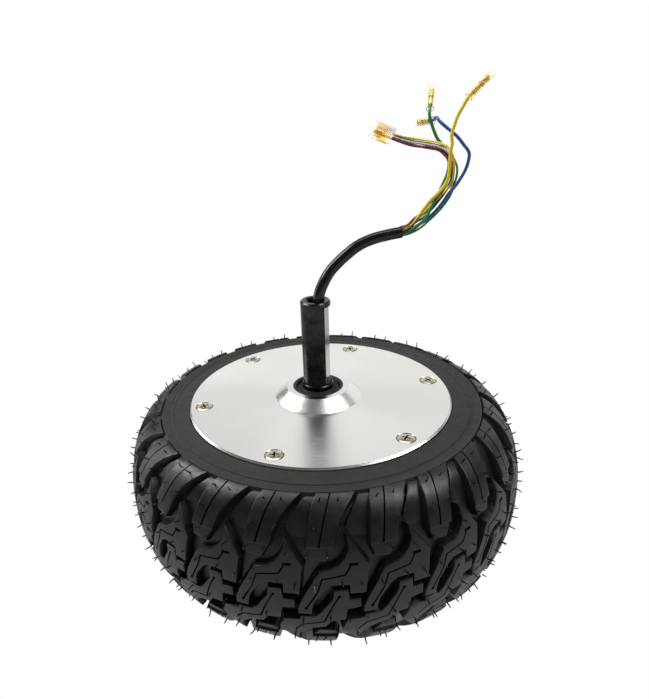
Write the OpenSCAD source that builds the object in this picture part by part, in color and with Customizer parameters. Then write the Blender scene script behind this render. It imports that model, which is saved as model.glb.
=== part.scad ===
// Hub motor wheel: an outrunner motor inside a wide off-road tyre, on a fixed hollow axle.
// Z runs along the axle towards the cable end. The wheel lies on the side of its tyre at z = 0.

/* [Tyre] */
// Outside diameter over the tread blocks
tyre_d = 218; // [212:0.2:222]
// Width over the shoulder blocks
tyre_w = 85; // [83:0.5:88]
// Diameter of the bead seat
bead_d = 134; // [132:0.5:136]

/* [Wheel] */
// Diameter of the cover plate and the rim flanges
plate_d = 145; // [142:0.5:148]
// Thickness of the cover plate
plate_t = 4; // [3.5:0.1:5]
// Inside diameter of the motor drum
drum_bore = 118; // [116:0.5:119]
// Pitch circle of the cover screws
screw_pcd = 128.8; // [128:0.1:130]
// Number of cover screws
screw_count = 6; // [4:1:8]
// Resting turn of the wheel against the axle's flat
wheel_turn = 23.6; // [0:0.1:60]

/* [Axle] */
// Diameter of the axle's outer end
axle_d = 16; // [15:0.5:16.5]
// Diameter of the bearing journals
journal_d = 17; // [16.8:0.1:17]
// Height of the axle's tip above the cover plate
axle_out = 55.5; // [45:0.5:70]
// Distance from the axis to the axle's flat
flat_x = 6; // [5.5:0.1:7]
// Diameter of the cable bore
cable_bore = 8.8; // [8.4:0.1:9.4]

/* [Motor] */
// Outside diameter of the stator
stator_d = 101; // [100:0.2:101.4]
// Length of the stator stack
stack_l = 36; // [30:1:40]
// Number of stator teeth
teeth = 27; // [27]
// Number of magnets
magnets_n = 30; // [30]
// Thickness of a magnet
magnet_t = 3; // [2.6:0.1:3]

/* [Harness] */
// Diameter of the cable's jacket
jacket_d = 6; // [5.6:0.1:6.2]
// Diameter of a phase wire
phase_d = 1.6; // [1.4:0.1:1.8]
// Diameter of a sensor wire
sensor_d = 1.1; // [0.9:0.1:1.2]

/* [Hidden] */
$fn = 96;

mid_z = tyre_w / 2;
plate_top = tyre_w + 0.5;
plate_under = plate_top - plate_t;
axle_tip = plate_top + axle_out;

// Rim and drum
flange_r = plate_d / 2 - 0.2;
bead_r = bead_d / 2;
drum_r = drum_bore / 2;
flange_t = 7.5;
far_face = tyre_w - plate_under;
web_t = 6;
far_bearing_z = far_face + 8.5;
near_bearing_z = plate_top - 11.5;

// Bearing 17 x 35 x 10
bearing_w = 10;
bearing_r = 17.5;
ball_d = 4.76;
ball_pitch_r = (journal_d / 2 + bearing_r) / 2;
ball_count = 10;
race_t = 2.4;
inner_race_r = journal_d / 2 + race_t;
outer_race_r = bearing_r - race_t;

// Boss on the cover plate, and its lip seal
boss_h = 5.5;
boss_base_r = 23.9;
boss_top_r = 17.35;
seal_r = 14;
lip_r = journal_d / 2 + 0.05;

// Axle
axle_r = axle_d / 2;
journal_r = journal_d / 2;
body_r = 10;
journal_top = plate_top + 7.5;
flat_low = journal_top + 1.5;
flat_high = axle_tip - 2.7;
bore_low = 64;
window_w = 8;

// Motor
stator_low = mid_z - stack_l / 2;
stator_high = mid_z + stack_l / 2;
stator_r = stator_d / 2;
yoke_r = 33;
yoke_in = 28;
neck_w = 4;
tip_r = stator_r - 2.6;
slot_open = 2.2;
cap_t = 1.5;
coil_end = 2.5;
coil_gap = 0.3;
coil_top = stator_high + cap_t + coil_gap + coil_end;
magnet_r = stator_r + 0.6;
ring_r = magnet_r + magnet_t;
tooth_step = 360 / teeth;
key_w = 5;

// Screws, M5 raised countersunk
screw_r = 2.5;
head_r = 4.4;
head_h = 2.1;
sink_r = 4.9;

// Routes of the cable and its wires, chosen point by point
jacket_route = [
    [1, 0.2, 128], [1, 0.2, 134], [1.5, 0.5, 140], [2.5, 1, 145], [4.5, 2.5, 150], [7, 5, 154.5],
    [10.5, 7, 158.5], [15, 9.5, 162.5], [20.5, 12.5, 166.5], [26.5, 15.5, 169], [33.5, 18.5, 170.5],
    [41.5, 22, 171.5]];
green_route = [
    [42, 21.5, 170.5], [46, 22.5, 172], [50.5, 22, 175.5], [54, 22.5, 179.5], [56, 24, 184],
    [58, 26, 187.5], [59.5, 28.5, 191], [61, 30.5, 194.5], [62.5, 32.5, 198.5], [63, 34.5, 203],
    [62, 35.5, 207.5], [60, 36, 211], [57, 34.5, 214.5], [55, 33, 218.5], [53.5, 31.5, 222.5],
    [52.5, 31.5, 226], [52.5, 33, 228.5], [52.5, 35, 230.2]];
yellow_route = [
    [41.5, 22, 172.5], [45.5, 23.5, 173.5], [49.5, 24.5, 178.5], [52.5, 24.5, 183], [55.5, 25, 187],
    [58.5, 25, 190], [61.5, 26, 193.5], [63, 26.5, 197], [63.5, 27, 201], [63.5, 27, 205],
    [63.5, 27, 209], [64, 26, 213], [63.5, 25, 217], [64.5, 24.5, 221], [65.5, 24, 224.5],
    [67.5, 23.5, 228.5], [70, 23.5, 232.8], [71.6, 24.6, 234.4]];
blue_route = [
    [41, 23.5, 171], [45.5, 25, 172], [50.5, 25, 175], [54.5, 25, 178], [58.5, 25, 182],
    [61.5, 25.5, 186], [64, 25.5, 190], [66.5, 25.5, 193], [69, 25.5, 197], [71, 26, 201],
    [72, 26, 205], [72, 26, 208.5], [69.5, 26.5, 212], [65.5, 27, 216.5], [60.5, 27, 220.5],
    [57.5, 28.5, 223], [56, 30.5, 224.5], [55, 33, 224.2], [54, 36, 223.2], [52.5, 38, 223]];
sensor_red_route = [
    [42, 20.5, 173.5], [44.5, 23, 175], [47.5, 26.5, 177.5], [52, 28.5, 180.5], [55.5, 29, 184.5],
    [59, 29.5, 188.5], [62, 29.5, 192.5], [63, 30, 196.5], [63.5, 30, 201.5], [62.5, 30.5, 205],
    [60, 31, 208], [56, 32, 210.5], [49.5, 32, 211.5], [44.5, 32, 212.3], [38.5, 32.3, 214.3],
    [34.7, 32.5, 215.8]];
sensor_black_route = [
    [42.5, 20, 172], [45.5, 21, 173.5], [48.5, 21.5, 176.5], [52.5, 25, 178.5], [55.5, 26.5, 181.5],
    [58.5, 28.5, 185], [61.5, 29.5, 189], [63.5, 29.5, 192.5], [64.5, 29.5, 196.5],
    [64.5, 30, 200.5], [63.5, 31, 204.5], [61.5, 32, 207], [58.5, 32.5, 209.2], [51, 33.5, 211],
    [45, 34, 212.5], [38.5, 34.4, 214.6], [34.8, 34.5, 216.1]];
sensor_yellow_route = [
    [40.5, 23.5, 173], [44.5, 25, 173.5], [48.5, 26.5, 176.5], [52.5, 27, 180.5], [56, 27.5, 184.5],
    [59, 28, 187.5], [62, 28, 190.5], [64.5, 27.5, 194], [65.5, 27, 198], [65.5, 27.5, 202],
    [65, 28, 205.5], [63.5, 29, 209.5], [60.5, 31, 212], [52.5, 37, 213.9], [46.5, 41, 214.6],
    [39.3, 42.4, 215.8], [35.3, 42.5, 217.1]];
sensor_green_route = [
    [41.5, 22.5, 169.5], [46, 24, 170.5], [51, 23, 173.5], [55, 26.5, 176.5], [59, 27, 180.5],
    [62.5, 27, 185], [65, 27, 189.5], [66, 27.5, 193.5], [67, 28.5, 197.5], [67, 30, 201.5],
    [66, 31.5, 204], [63.5, 33, 207.5], [60, 33.5, 210.5], [52.5, 37.5, 212.6],
    [46, 39.8, 213.6], [39, 40.4, 215.4], [35.2, 40.5, 216.9]];
sensor_blue_route = [
    [41, 22.5, 174], [44.5, 25.5, 174.5], [48, 28.5, 176.5], [52.5, 29.5, 179.5], [56, 30, 183],
    [59.5, 30.5, 186.5], [62.5, 30.5, 190.5], [64, 31.5, 194.5], [65, 32, 198.5], [64.5, 32.5, 203],
    [62.5, 33, 206.5], [59.5, 33.5, 209.5], [52, 36.3, 211.7], [46, 37.8, 213.2],
    [38.8, 38.4, 215.2], [35, 38.5, 216.6]];
sensor_white_route = [
    [40.5, 24, 172], [44.5, 26.5, 172.5], [50, 27.5, 174], [54, 28, 176.5], [58, 28.5, 180],
    [61.5, 28.5, 184.5], [64, 28.5, 189], [65, 29, 193], [65.5, 29, 197], [65.5, 29, 201.5],
    [65, 30, 205], [63, 31.5, 208], [59.5, 32, 210.5], [52, 34.5, 212.3], [45.5, 36, 213.3],
    [38.7, 36.4, 215], [34.9, 36.5, 216.4]];

// Points along a chain of tangent arcs, each [radius, turn], turning clockwise from a heading
function arcs(start, heading, list, step = 5) =
    len(list) == 0 ? [start] :
    let (
        r = list[0][0], turn = list[0][1], n = ceil(turn / step),
        centre = start + r * [sin(heading), -cos(heading)],
        points = [for (i = [0 : n]) let (a = heading - turn * i / n)
            centre - r * [sin(a), -cos(a)]],
        rest = [for (i = [1 : 1 : len(list) - 1]) list[i]])
    concat([for (i = [0 : n - 1]) points[i]], arcs(points[n], heading - turn, rest, step));

// A half outline and its mirror image about the height mid_z
function mirrored(points) = concat(points,
    [for (i = [len(points) - 1 : -1 : 0]) [points[i][0], 2 * mid_z - points[i][1]]]);

// Direction of a route at one of its points
function heading(route, i) =
    let (d = route[min(i + 1, len(route) - 1)] - route[max(i - 1, 0)]) d / norm(d);

// Round tube swept along a route
module tube(route, d, sides = 8) {
    n = len(route);
    points = [for (i = [0 : n - 1])
        let (t = heading(route, i), c = cross(t, [0, 1, 0]), u = c / norm(c), v = cross(t, u))
        for (j = [0 : sides - 1])
            route[i] + d / 2 * (cos(360 * j / sides) * u + sin(360 * j / sides) * v)];
    skin = [for (i = [0 : n - 2], j = [0 : sides - 1]) let (k = (j + 1) % sides)
        [i * sides + j, (i + 1) * sides + j, (i + 1) * sides + k, i * sides + k]];
    ends = [[for (j = [0 : sides - 1]) j], [for (j = [sides - 1 : -1 : 0]) (n - 1) * sides + j]];
    polyhedron(points, concat(skin, ends));
}

// Ring of rectangular section
module ring(r_in, r_out, z, h) {
    translate([0, 0, z]) difference() {
        cylinder(r = r_out, h = h);
        translate([0, 0, -1]) cylinder(r = r_in, h = h + 2);
    }
}

// Copies of a shape turned about the axle
module around(count, start = 0) {
    for (i = [0 : count - 1]) rotate(start + i * 360 / count) children();
}

module in_wheel() {
    rotate(wheel_turn) children();
}

// ---- Axle and stator, which stand still ----

module axle() {
    lead_in = 0.6;
    tip_chamfer = 0.7;
    mouth = 1.1;
    cutter_r = 0.8;
    seat_low = flat_low + cutter_r;
    seat_step = 0.05;
    color("#3b3b3e") difference() {
        rotate_extrude() polygon([
            [0, far_bearing_z - 2], [journal_r - lead_in, far_bearing_z - 2],
            [journal_r, far_bearing_z - 2 + lead_in], [journal_r, far_bearing_z + bearing_w],
            [body_r, far_bearing_z + bearing_w], [body_r, near_bearing_z],
            [journal_r, near_bearing_z], [journal_r, journal_top],
            [axle_r, journal_top + (journal_r - axle_r)], [axle_r, seat_low],
            [axle_r - seat_step, seat_low], [axle_r - seat_step, flat_high], [axle_r, flat_high],
            [axle_r, axle_tip - tip_chamfer],
            [axle_r - tip_chamfer, axle_tip], [0, axle_tip]]);
        // Bore for the cable, with a chamfered mouth
        translate([0, 0, bore_low]) cylinder(d = cable_bore, h = axle_tip);
        translate([0, 0, axle_tip - mouth])
            cylinder(r1 = cable_bore / 2, r2 = cable_bore / 2 + mouth + 0.1, h = mouth + 0.1);
        // Window that lets the leads out to the windings
        translate([-window_w / 2, 0, bore_low]) cube([window_w, 2 * body_r, 7]);
        // Milled flat with the cutter's run-out at its lower end
        translate([flat_x, -axle_d, seat_low])
            cube([axle_d, 2 * axle_d, flat_high - seat_low]);
        translate([flat_x + cutter_r, -axle_d, seat_low])
            rotate([-90, 0, 0]) cylinder(r = cutter_r, h = 2 * axle_d);
        // Groove for the circlip, and the keyway
        ring(journal_r - 0.5, journal_r + 5, far_bearing_z - 1.3, 1.2);
        translate([-key_w / 2, -body_r - 2, mid_z - 10]) cube([key_w, 5, 20]);
    }
}

module axle_circlip() {
    color("#4a4a4c") difference() {
        ring(journal_r - 0.5, journal_r + 1.4, far_bearing_z - 1.2, 1);
        translate([0, -2, 0]) cube([journal_d, 4, 4 * bearing_w]);
    }
}

module axle_key() {
    color("#8a8a8c") translate([-key_w / 2, -body_r - 2, mid_z - 10]) cube([key_w, 5, 20]);
}

module stator_hub() {
    holes = 6;
    color("#b9bbbd") difference() {
        ring(body_r, yoke_in, stator_low, stack_l);
        around(holes, 30) translate([(body_r + yoke_in) / 2, 0, stator_low - 1])
            cylinder(r = 5.5, h = stack_l + 2);
        translate([-key_w / 2, -body_r - 2, mid_z - 10]) cube([key_w, 5, 20]);
    }
}

// Outline of the laminations: yoke, tooth necks and tooth tips
module lamination(r_tip = stator_r) {
    difference() {
        union() {
            circle(r = yoke_r);
            around(teeth) translate([yoke_in, -neck_w / 2]) square([tip_r - yoke_in + 0.5, neck_w]);
            difference() {
                circle(r = r_tip);
                circle(r = tip_r);
                around(teeth, tooth_step / 2)
                    translate([tip_r - 2, -slot_open / 2]) square([8, slot_open]);
            }
        }
        circle(r = yoke_in);
    }
}

module stator_core() {
    color("#6f7478") translate([0, 0, stator_low]) linear_extrude(stack_l) lamination();
}

module insulator(z) {
    color("#e9e4d2") translate([0, 0, z]) linear_extrude(cap_t) lamination(stator_r - 0.8);
}

module near_insulator() {
    insulator(stator_high);
}

module far_insulator() {
    insulator(stator_low - cap_t);
}

// One coil around a tooth: a wedge with the tooth's own shape cut out
module coil() {
    r_in = yoke_r + 0.4;
    r_out = tip_r - 0.4;
    half = tan(tooth_step / 2);
    side = 0.25;
    length = stack_l + 2 * (cap_t + coil_gap);
    low = stator_low - cap_t - coil_gap;
    difference() {
        translate([0, 0, low - coil_end]) linear_extrude(length + 2 * coil_end) polygon([
            [r_in, -r_in * half + side], [r_out, -r_out * half + side + 0.8],
            [r_out, r_out * half - side - 0.8], [r_in, r_in * half - side]]);
        translate([r_in - 1, -neck_w / 2 - coil_gap, low])
            cube([r_out - r_in + 2, neck_w + 2 * coil_gap, length]);
    }
}

// Three coils side by side, three times round, for each phase
module winding(phase) {
    color("#b5652b") for (group = [0 : 2], i = [0 : 2])
        rotate(tooth_step * (9 * group + 3 * phase + i)) coil();
}

module winding_yellow() {
    winding(0);
}

module winding_green() {
    winding(1);
}

module winding_blue() {
    winding(2);
}

board_z = coil_top + 0.2;
board_t = 1.4;
board_in = 37;

module hall_board() {
    span = 4 * tooth_step;
    color("#2f6b3c") translate([0, 0, board_z]) rotate(90 - span / 2)
        rotate_extrude(angle = span)
            translate([board_in, 0]) square([stator_r - 0.5 - board_in, board_t]);
}

module hall_sensors() {
    color("#26262a") for (i = [-1 : 1])
        rotate(90 + tooth_step * (i - 0.25)) translate([tip_r + 0.1, -0.9, stator_high - 3])
            cube([2, 1.8, board_z - stator_high + 3]);
}

cable_x = 1;
leads_z = bore_low + 3.5;
cable_end = bore_low + 7;

module inner_cable() {
    color("#1c1c1e") translate([cable_x, 0.2, cable_end])
        cylinder(d = jacket_d, h = jacket_route[0][2] - cable_end);
}

module phase_leads() {
    bend = 2;
    reach = 35;
    color("#c9b23a") for (x = [-2.2, 0, 2.2]) translate([x, 0, 0]) {
        translate([0, 0, leads_z + bend]) cylinder(d = phase_d, h = cable_end - leads_z - bend);
        translate([0, bend, leads_z + bend]) rotate([0, -90, 0]) rotate(180)
            rotate_extrude(angle = 90) translate([bend, 0]) circle(d = phase_d);
        translate([0, bend, leads_z]) rotate([-90, 0, 0])
            cylinder(d = phase_d, h = reach - 2 * bend);
        translate([0, reach - bend, leads_z - bend]) rotate([0, -90, 0])
            rotate_extrude(angle = 90) translate([bend, 0]) circle(d = phase_d);
        translate([0, reach, coil_top]) cylinder(d = phase_d, h = leads_z - bend - coil_top);
    }
}

// ---- Bearings ----

module inner_race(z) {
    color("#c4c6c9") difference() {
        ring(journal_r, inner_race_r, z, bearing_w);
        race_groove(z);
    }
}

module outer_race(z) {
    color("#c4c6c9") difference() {
        ring(outer_race_r, bearing_r, z, bearing_w);
        race_groove(z);
    }
}

module race_groove(z) {
    translate([0, 0, z + bearing_w / 2]) rotate_extrude()
        translate([ball_pitch_r, 0]) circle(d = ball_d + 0.08);
}

module bearing_balls(z) {
    color("#dcdde0") around(ball_count) translate([ball_pitch_r, 0, z + bearing_w / 2])
        sphere(d = ball_d);
}

module bearing_cage(z) {
    color("#c8a24a") difference() {
        ring(ball_pitch_r - 0.8, ball_pitch_r + 0.8, z + bearing_w / 2 - 3, 6);
        around(ball_count) translate([ball_pitch_r, 0, z + bearing_w / 2])
            sphere(d = ball_d + 0.08);
    }
}

module bearing_shields(z) {
    color("#232326") for (h = [0.2, bearing_w - 0.9])
        ring(inner_race_r + 0.3, outer_race_r, z + h, 0.7);
}

module near_bearing_inner_race() {
    inner_race(near_bearing_z);
}

module far_bearing_inner_race() {
    inner_race(far_bearing_z);
}

module near_bearing_outer_race() {
    outer_race(near_bearing_z);
}

module far_bearing_outer_race() {
    outer_race(far_bearing_z);
}

module near_bearing_cage() {
    bearing_cage(near_bearing_z);
}

module far_bearing_cage() {
    bearing_cage(far_bearing_z);
}

module near_bearing_balls() {
    bearing_balls(near_bearing_z);
}

module far_bearing_balls() {
    bearing_balls(far_bearing_z);
}

module near_bearing_shields() {
    bearing_shields(near_bearing_z);
}

module far_bearing_shields() {
    bearing_shields(far_bearing_z);
}

// ---- Wheel, which turns ----

valve_r = 65.8;
valve_angle = 180;
pocket_r = 5.3;
pocket_d = 7;

module rim_drum() {
    seat_w = 12;
    well = 2.5;
    boss_r = 22;
    cap_hole = 12;
    spoke_gaps = 6;
    flange_low = far_face + flange_t;
    flange_high = plate_under - flange_t;
    color("#b4b6b8") in_wheel() difference() {
        rotate_extrude() polygon([
            [cap_hole, far_face], [flange_r, far_face], [flange_r, flange_low],
            [bead_r, flange_low], [bead_r, flange_low + seat_w],
            [bead_r - well, flange_low + seat_w + well],
            [bead_r - well, flange_high - seat_w - well],
            [bead_r, flange_high - seat_w], [bead_r, flange_high],
            [flange_r, flange_high], [flange_r, plate_under], [drum_r, plate_under],
            [drum_r, far_face + web_t], [boss_r, far_face + web_t],
            [boss_r, far_bearing_z + bearing_w], [bearing_r, far_bearing_z + bearing_w],
            [bearing_r, far_bearing_z], [cap_hole, far_bearing_z]]);
        around(screw_count) translate([screw_pcd / 2, 0, plate_under - 9])
            cylinder(r = screw_r + 0.05, h = 10);
        // Pockets between the spokes of the far face
        around(spoke_gaps, 5) translate([0, 0, far_face - 1])
            rotate_extrude(angle = 50) translate([28, 0]) square([28, 3.2]);
        // Valve pocket, and its passage to the rim well
        rotate(valve_angle) translate([valve_r, 0, far_face - 1]) {
            cylinder(r = pocket_r, h = pocket_d + 1);
            cylinder(r = 2, h = 30);
            translate([0, 0, 27]) rotate([0, 90, 0]) cylinder(r = 1.5, h = 10);
        }
    }
}

module flux_ring() {
    color("#7d8084") ring(ring_r, drum_r, mid_z - 20, 40);
}

module magnets() {
    share = 0.92;
    step = 360 / magnets_n;
    color("#9a9ca0") around(magnets_n) translate([0, 0, mid_z - 19])
        rotate_extrude(angle = step * share)
            translate([magnet_r, 0]) square([magnet_t, 38]);
}

module cover_plate() {
    edge = 0.8;
    register = 2.5;
    groove = 1.5;
    color("#d7d9db") in_wheel() difference() {
        rotate_extrude() polygon([
            [bearing_r, near_bearing_z - 1], [22.5, near_bearing_z - 1], [22.5, plate_under],
            [54, plate_under], [54, plate_under - register],
            [drum_r - 0.1, plate_under - register], [drum_r - 0.1, plate_under - groove - 0.5],
            [drum_r - 1.6, plate_under - groove - 0.5], [drum_r - 1.6, plate_under - 0.5],
            [drum_r - 0.1, plate_under - 0.5], [drum_r - 0.1, plate_under],
            [plate_d / 2, plate_under], [plate_d / 2, plate_top - edge],
            [plate_d / 2 - edge, plate_top], [boss_base_r, plate_top],
            [boss_top_r, plate_top + boss_h], [seal_r, plate_top + boss_h],
            [seal_r, near_bearing_z + bearing_w], [bearing_r, near_bearing_z + bearing_w]]);
        around(screw_count) translate([screw_pcd / 2, 0, 0]) {
            translate([0, 0, plate_under - 1]) cylinder(r = screw_r + 0.25, h = plate_t + 2);
            translate([0, 0, plate_top - sink_r + screw_r])
                cylinder(r1 = screw_r, r2 = sink_r + 0.1, h = sink_r - screw_r + 0.1);
        }
    }
}

module cover_seal() {
    color("#1b1b1c") rotate_extrude() translate([drum_r - 0.85, plate_under - 1.25])
        circle(r = 0.74);
}

module cover_screws() {
    dome = 0.6;
    shank = 11;
    cross_l = 4.6;
    cross_w = 0.9;
    cross_deep = 1.4;
    cross_turn = 20;
    color("#c9c2b0") in_wheel() around(screw_count) translate([screw_pcd / 2, 0, 0])
        difference() {
            rotate_extrude() polygon([
                [0, plate_top - shank], [screw_r - 0.4, plate_top - shank],
                [screw_r, plate_top - shank + 0.4], [screw_r, plate_top - head_h - 0.1],
                [head_r, plate_top - 0.1], [head_r * 0.8, plate_top + dome * 0.5],
                [head_r * 0.45, plate_top + dome * 0.9], [0, plate_top + dome]]);
            for (a = [0, 90]) rotate(a + cross_turn)
                translate([-cross_l / 2, -cross_w / 2, plate_top - cross_deep])
                    cube([cross_l, cross_w, 2 * cross_deep]);
        }
}

module dust_seal() {
    top = plate_top + boss_h - 0.3;
    base = near_bearing_z + bearing_w + 0.1;
    color("#1a1a1b") rotate_extrude() polygon([
        [seal_r, base], [seal_r, top], [seal_r - 1.4, top], [seal_r - 2.2, top - 1.6],
        [lip_r + 1.6, top - 1.6], [lip_r + 0.5, top + 0.2], [lip_r, top],
        [lip_r, top - 0.5], [lip_r + 0.6, top - 3.2], [seal_r - 1.6, top - 3.2],
        [seal_r - 1.6, base]]);
}

// Tyre section: outer arcs over the shoulder to the crown, and the air space inside
module tyre() {
    crown_r = tyre_d / 2;
    side_r = crown_r - 22.7;
    outer = arcs([side_r, tyre_w], 0, [[12, 25], [20, 25], [40, 20], [63, 20]]);
    inner = arcs([side_r - 5.5, tyre_w - 7.4], 0, [[10, 30], [18, 30], [42, 30]]);
    flange_high = plate_under - flange_t;
    hug_r = plate_d / 2 + 0.2;
    land_w = 2.5;
    section = concat(
        [[bead_r, flange_high - 11], [bead_r, flange_high], [hug_r, flange_high],
         [hug_r, tyre_w - 0.7], [side_r - 4, tyre_w - 0.7], [side_r - land_w, tyre_w]], outer);
    hollow = concat([[bead_r, flange_high - 11], [bead_r + 6, flange_high - 7]], inner);
    color("#232324") rotate_extrude() difference() {
        polygon(mirrored(section));
        polygon(mirrored(hollow));
    }
}

module at_valve() {
    in_wheel() rotate(valve_angle) translate([valve_r, 0, 0]) children();
}

module valve_stem() {
    color("#b8903c") at_valve() difference() {
        union() {
            translate([0, 0, far_face + 2]) cylinder(r = 2.6, h = pocket_d - 2);
            translate([0, 0, far_face + pocket_d - 2]) cylinder(r = 4.4, h = 2, $fn = 6);
        }
        translate([0, 0, far_face + 1]) cylinder(r = 1.1, h = pocket_d + 1);
    }
}

module valve_cap() {
    color("#1d1d1f") at_valve() difference() {
        translate([0, 0, far_face - 1.5]) cylinder(r = 4, h = 6);
        translate([0, 0, far_face + 1]) cylinder(r = 2.65, h = 6);
    }
}

module hub_cap() {
    color("#2a2a2c") rotate_extrude() polygon([
        [0, far_face - 1.6], [13, far_face - 1.6], [15, far_face - 0.6], [15, far_face],
        [11.95, far_face], [11.95, far_face + 5], [10.5, far_face + 5], [10.5, far_face],
        [0, far_face]]);
}

// ---- Cable and wires ----

module cable_jacket() {
    color("#1c1c1e") tube(jacket_route, jacket_d);
}

module phase_wire_yellow() {
    color("#e2c21c") tube(yellow_route, phase_d);
}

module phase_wire_green() {
    color("#1f7a35") tube(green_route, phase_d);
}

module phase_wire_blue() {
    color("#1f3f86") tube(blue_route, phase_d);
}

module sensor_wire_red() {
    color("#7d1420") tube(sensor_red_route, sensor_d);
}

module sensor_wire_black() {
    color("#1a1a20") tube(sensor_black_route, sensor_d);
}

module sensor_wire_yellow() {
    color("#e2c21c") tube(sensor_yellow_route, sensor_d);
}

module sensor_wire_green() {
    color("#1f7a35") tube(sensor_green_route, sensor_d);
}

module sensor_wire_blue() {
    color("#3f4d7a") tube(sensor_blue_route, sensor_d);
}

module sensor_wire_white() {
    color("#efeeea") tube(sensor_white_route, sensor_d);
}

// Places a shape at the end of a route, with its Z along the route's last step
module at_end(route) {
    n = len(route);
    d = route[n - 1] - route[n - 2];
    translate(route[n - 1]) rotate([0, acos(d[2] / norm(d)), atan2(d[1], d[0])]) children();
}

// Male bullet terminal: crimp barrel, collar, and pin with a waist and a round nose
module terminal(route) {
    color("#c79a3c") at_end(route) rotate_extrude() polygon([
        [0, 0], [1.1, 0], [1.1, 3.8], [0.8, 4.2], [0.8, 4.7], [1.35, 5], [1.35, 5.8],
        [1.1, 6.3], [1.1, 7.5], [1.35, 8.1], [1.3, 9.3], [0.8, 10], [0, 10.2]]);
}

module sleeve(route) {
    wire_grip = 2.5;
    sleeve_l = 15;
    color("#e8e2d0", 0.5) at_end(route) translate([0, 0, -wire_grip])
        ring(1.5, 1.8, 0, sleeve_l);
}

module terminal_yellow() {
    terminal(yellow_route);
}

module terminal_green() {
    terminal(green_route);
}

module terminal_blue() {
    terminal(blue_route);
}

module sleeve_yellow() {
    sleeve(yellow_route);
}

module sleeve_green() {
    sleeve(green_route);
}

module sleeve_blue() {
    sleeve(blue_route);
}

contact_count = 6;
contact_pitch = 2;

// Pose of the sensor connector: X out of its mouth, Y along its row of contacts
module at_connector() {
    translate([35, 37.5, 216.5]) rotate([0, -22, 180]) rotate([-8, 0, 0]) children();
}

module along_row() {
    for (i = [0 : contact_count - 1])
        translate([0, (i - (contact_count - 1) / 2) * contact_pitch, 0]) children();
}

module sensor_connector() {
    length = 12;
    width = contact_count * contact_pitch + 2;
    height = 5;
    wall = 0.8;
    block = 5.5;
    latch_w = 5;
    latch_l = 8;
    latch_t = 0.9;
    latch_gap = 0.7;
    latch_low = -height / 2 - latch_gap - latch_t;
    root_l = 2;
    color("#ece8da", 0.8) at_connector() difference() {
        union() {
            translate([0, -width / 2, -height / 2]) cube([length, width, height]);
            // Latch arm under the body, on its root
            translate([2, -latch_w / 2, latch_low]) cube([latch_l, latch_w, latch_t]);
            translate([length / 2, -latch_w / 2, latch_low + latch_t - 0.1])
                cube([root_l, latch_w, latch_gap + 0.3]);
        }
        translate([block, wall - width / 2, wall - height / 2])
            cube([length, width - 2 * wall, height - 2 * wall]);
        along_row() translate([-1, 0, 0]) rotate([0, 90, 0]) cylinder(r = 0.7, h = block + 2);
    }
}

module sensor_contacts() {
    crimp_l = 5;
    blade = [5, 0.7, 0.7];
    color("#c79a3c") at_connector() along_row() {
        rotate([0, 90, 0]) cylinder(r = 0.65, h = crimp_l);
        translate([crimp_l, -blade[1] / 2, -blade[2] / 2]) cube(blade);
    }
}

axle();
axle_circlip();
axle_key();
stator_hub();
stator_core();
near_insulator();
far_insulator();
winding_yellow();
winding_green();
winding_blue();
hall_board();
hall_sensors();
inner_cable();
phase_leads();
near_bearing_inner_race();
far_bearing_inner_race();
near_bearing_cage();
near_bearing_balls();
far_bearing_cage();
far_bearing_balls();
near_bearing_outer_race();
near_bearing_shields();
far_bearing_outer_race();
far_bearing_shields();
rim_drum();
flux_ring();
magnets();
cover_plate();
cover_seal();
cover_screws();
dust_seal();
tyre();
valve_stem();
valve_cap();
hub_cap();
cable_jacket();
phase_wire_yellow();
phase_wire_green();
phase_wire_blue();
sensor_wire_red();
sensor_wire_black();
sensor_wire_yellow();
sensor_wire_green();
sensor_wire_blue();
sensor_wire_white();
terminal_yellow();
terminal_green();
terminal_blue();
sleeve_yellow();
sleeve_green();
sleeve_blue();
sensor_connector();
sensor_contacts();
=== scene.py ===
"""Looks of the hub motor wheel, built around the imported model. All lengths here are in millimetres
until a point is placed, and MM turns them into Blender's metres."""

import math
import random

import bmesh
import bpy
import numpy as np
from mathutils import Matrix, Vector


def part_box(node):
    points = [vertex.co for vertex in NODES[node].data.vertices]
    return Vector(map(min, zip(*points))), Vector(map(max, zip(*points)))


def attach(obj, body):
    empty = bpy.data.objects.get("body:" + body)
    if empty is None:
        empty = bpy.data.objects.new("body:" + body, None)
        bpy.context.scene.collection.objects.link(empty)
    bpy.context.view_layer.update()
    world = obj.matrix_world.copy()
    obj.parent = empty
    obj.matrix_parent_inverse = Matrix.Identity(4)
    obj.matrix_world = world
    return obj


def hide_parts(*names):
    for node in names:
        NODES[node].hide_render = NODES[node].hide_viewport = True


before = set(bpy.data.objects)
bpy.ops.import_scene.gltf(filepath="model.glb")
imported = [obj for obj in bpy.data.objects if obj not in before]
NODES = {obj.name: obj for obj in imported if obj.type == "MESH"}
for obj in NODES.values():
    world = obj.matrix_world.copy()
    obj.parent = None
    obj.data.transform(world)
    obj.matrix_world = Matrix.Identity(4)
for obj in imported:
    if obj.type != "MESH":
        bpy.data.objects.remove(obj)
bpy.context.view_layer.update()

MM = 0.001


def size_of(node):
    """Lowest and highest corner of a CAD node, in millimetres."""
    low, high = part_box(node)
    return Vector(low) / MM, Vector(high) / MM


# Driving dimensions in millimetres, read from the frame
TYRE_LOW, TYRE_HIGH = size_of("tyre")
CROWN_R = TYRE_HIGH.x
MID_Z = (TYRE_LOW.z + TYRE_HIGH.z) / 2
HALF_W = (TYRE_HIGH.z - TYRE_LOW.z) / 2
PLATE_R = size_of("cover_plate")[1].x
PLATE_TOP = TYRE_HIGH.z + 0.5

# The axle's milled flat: its distance from the centre, and where it begins
FLAT_X = 6.0
FLAT_LOW = 94.5


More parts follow.
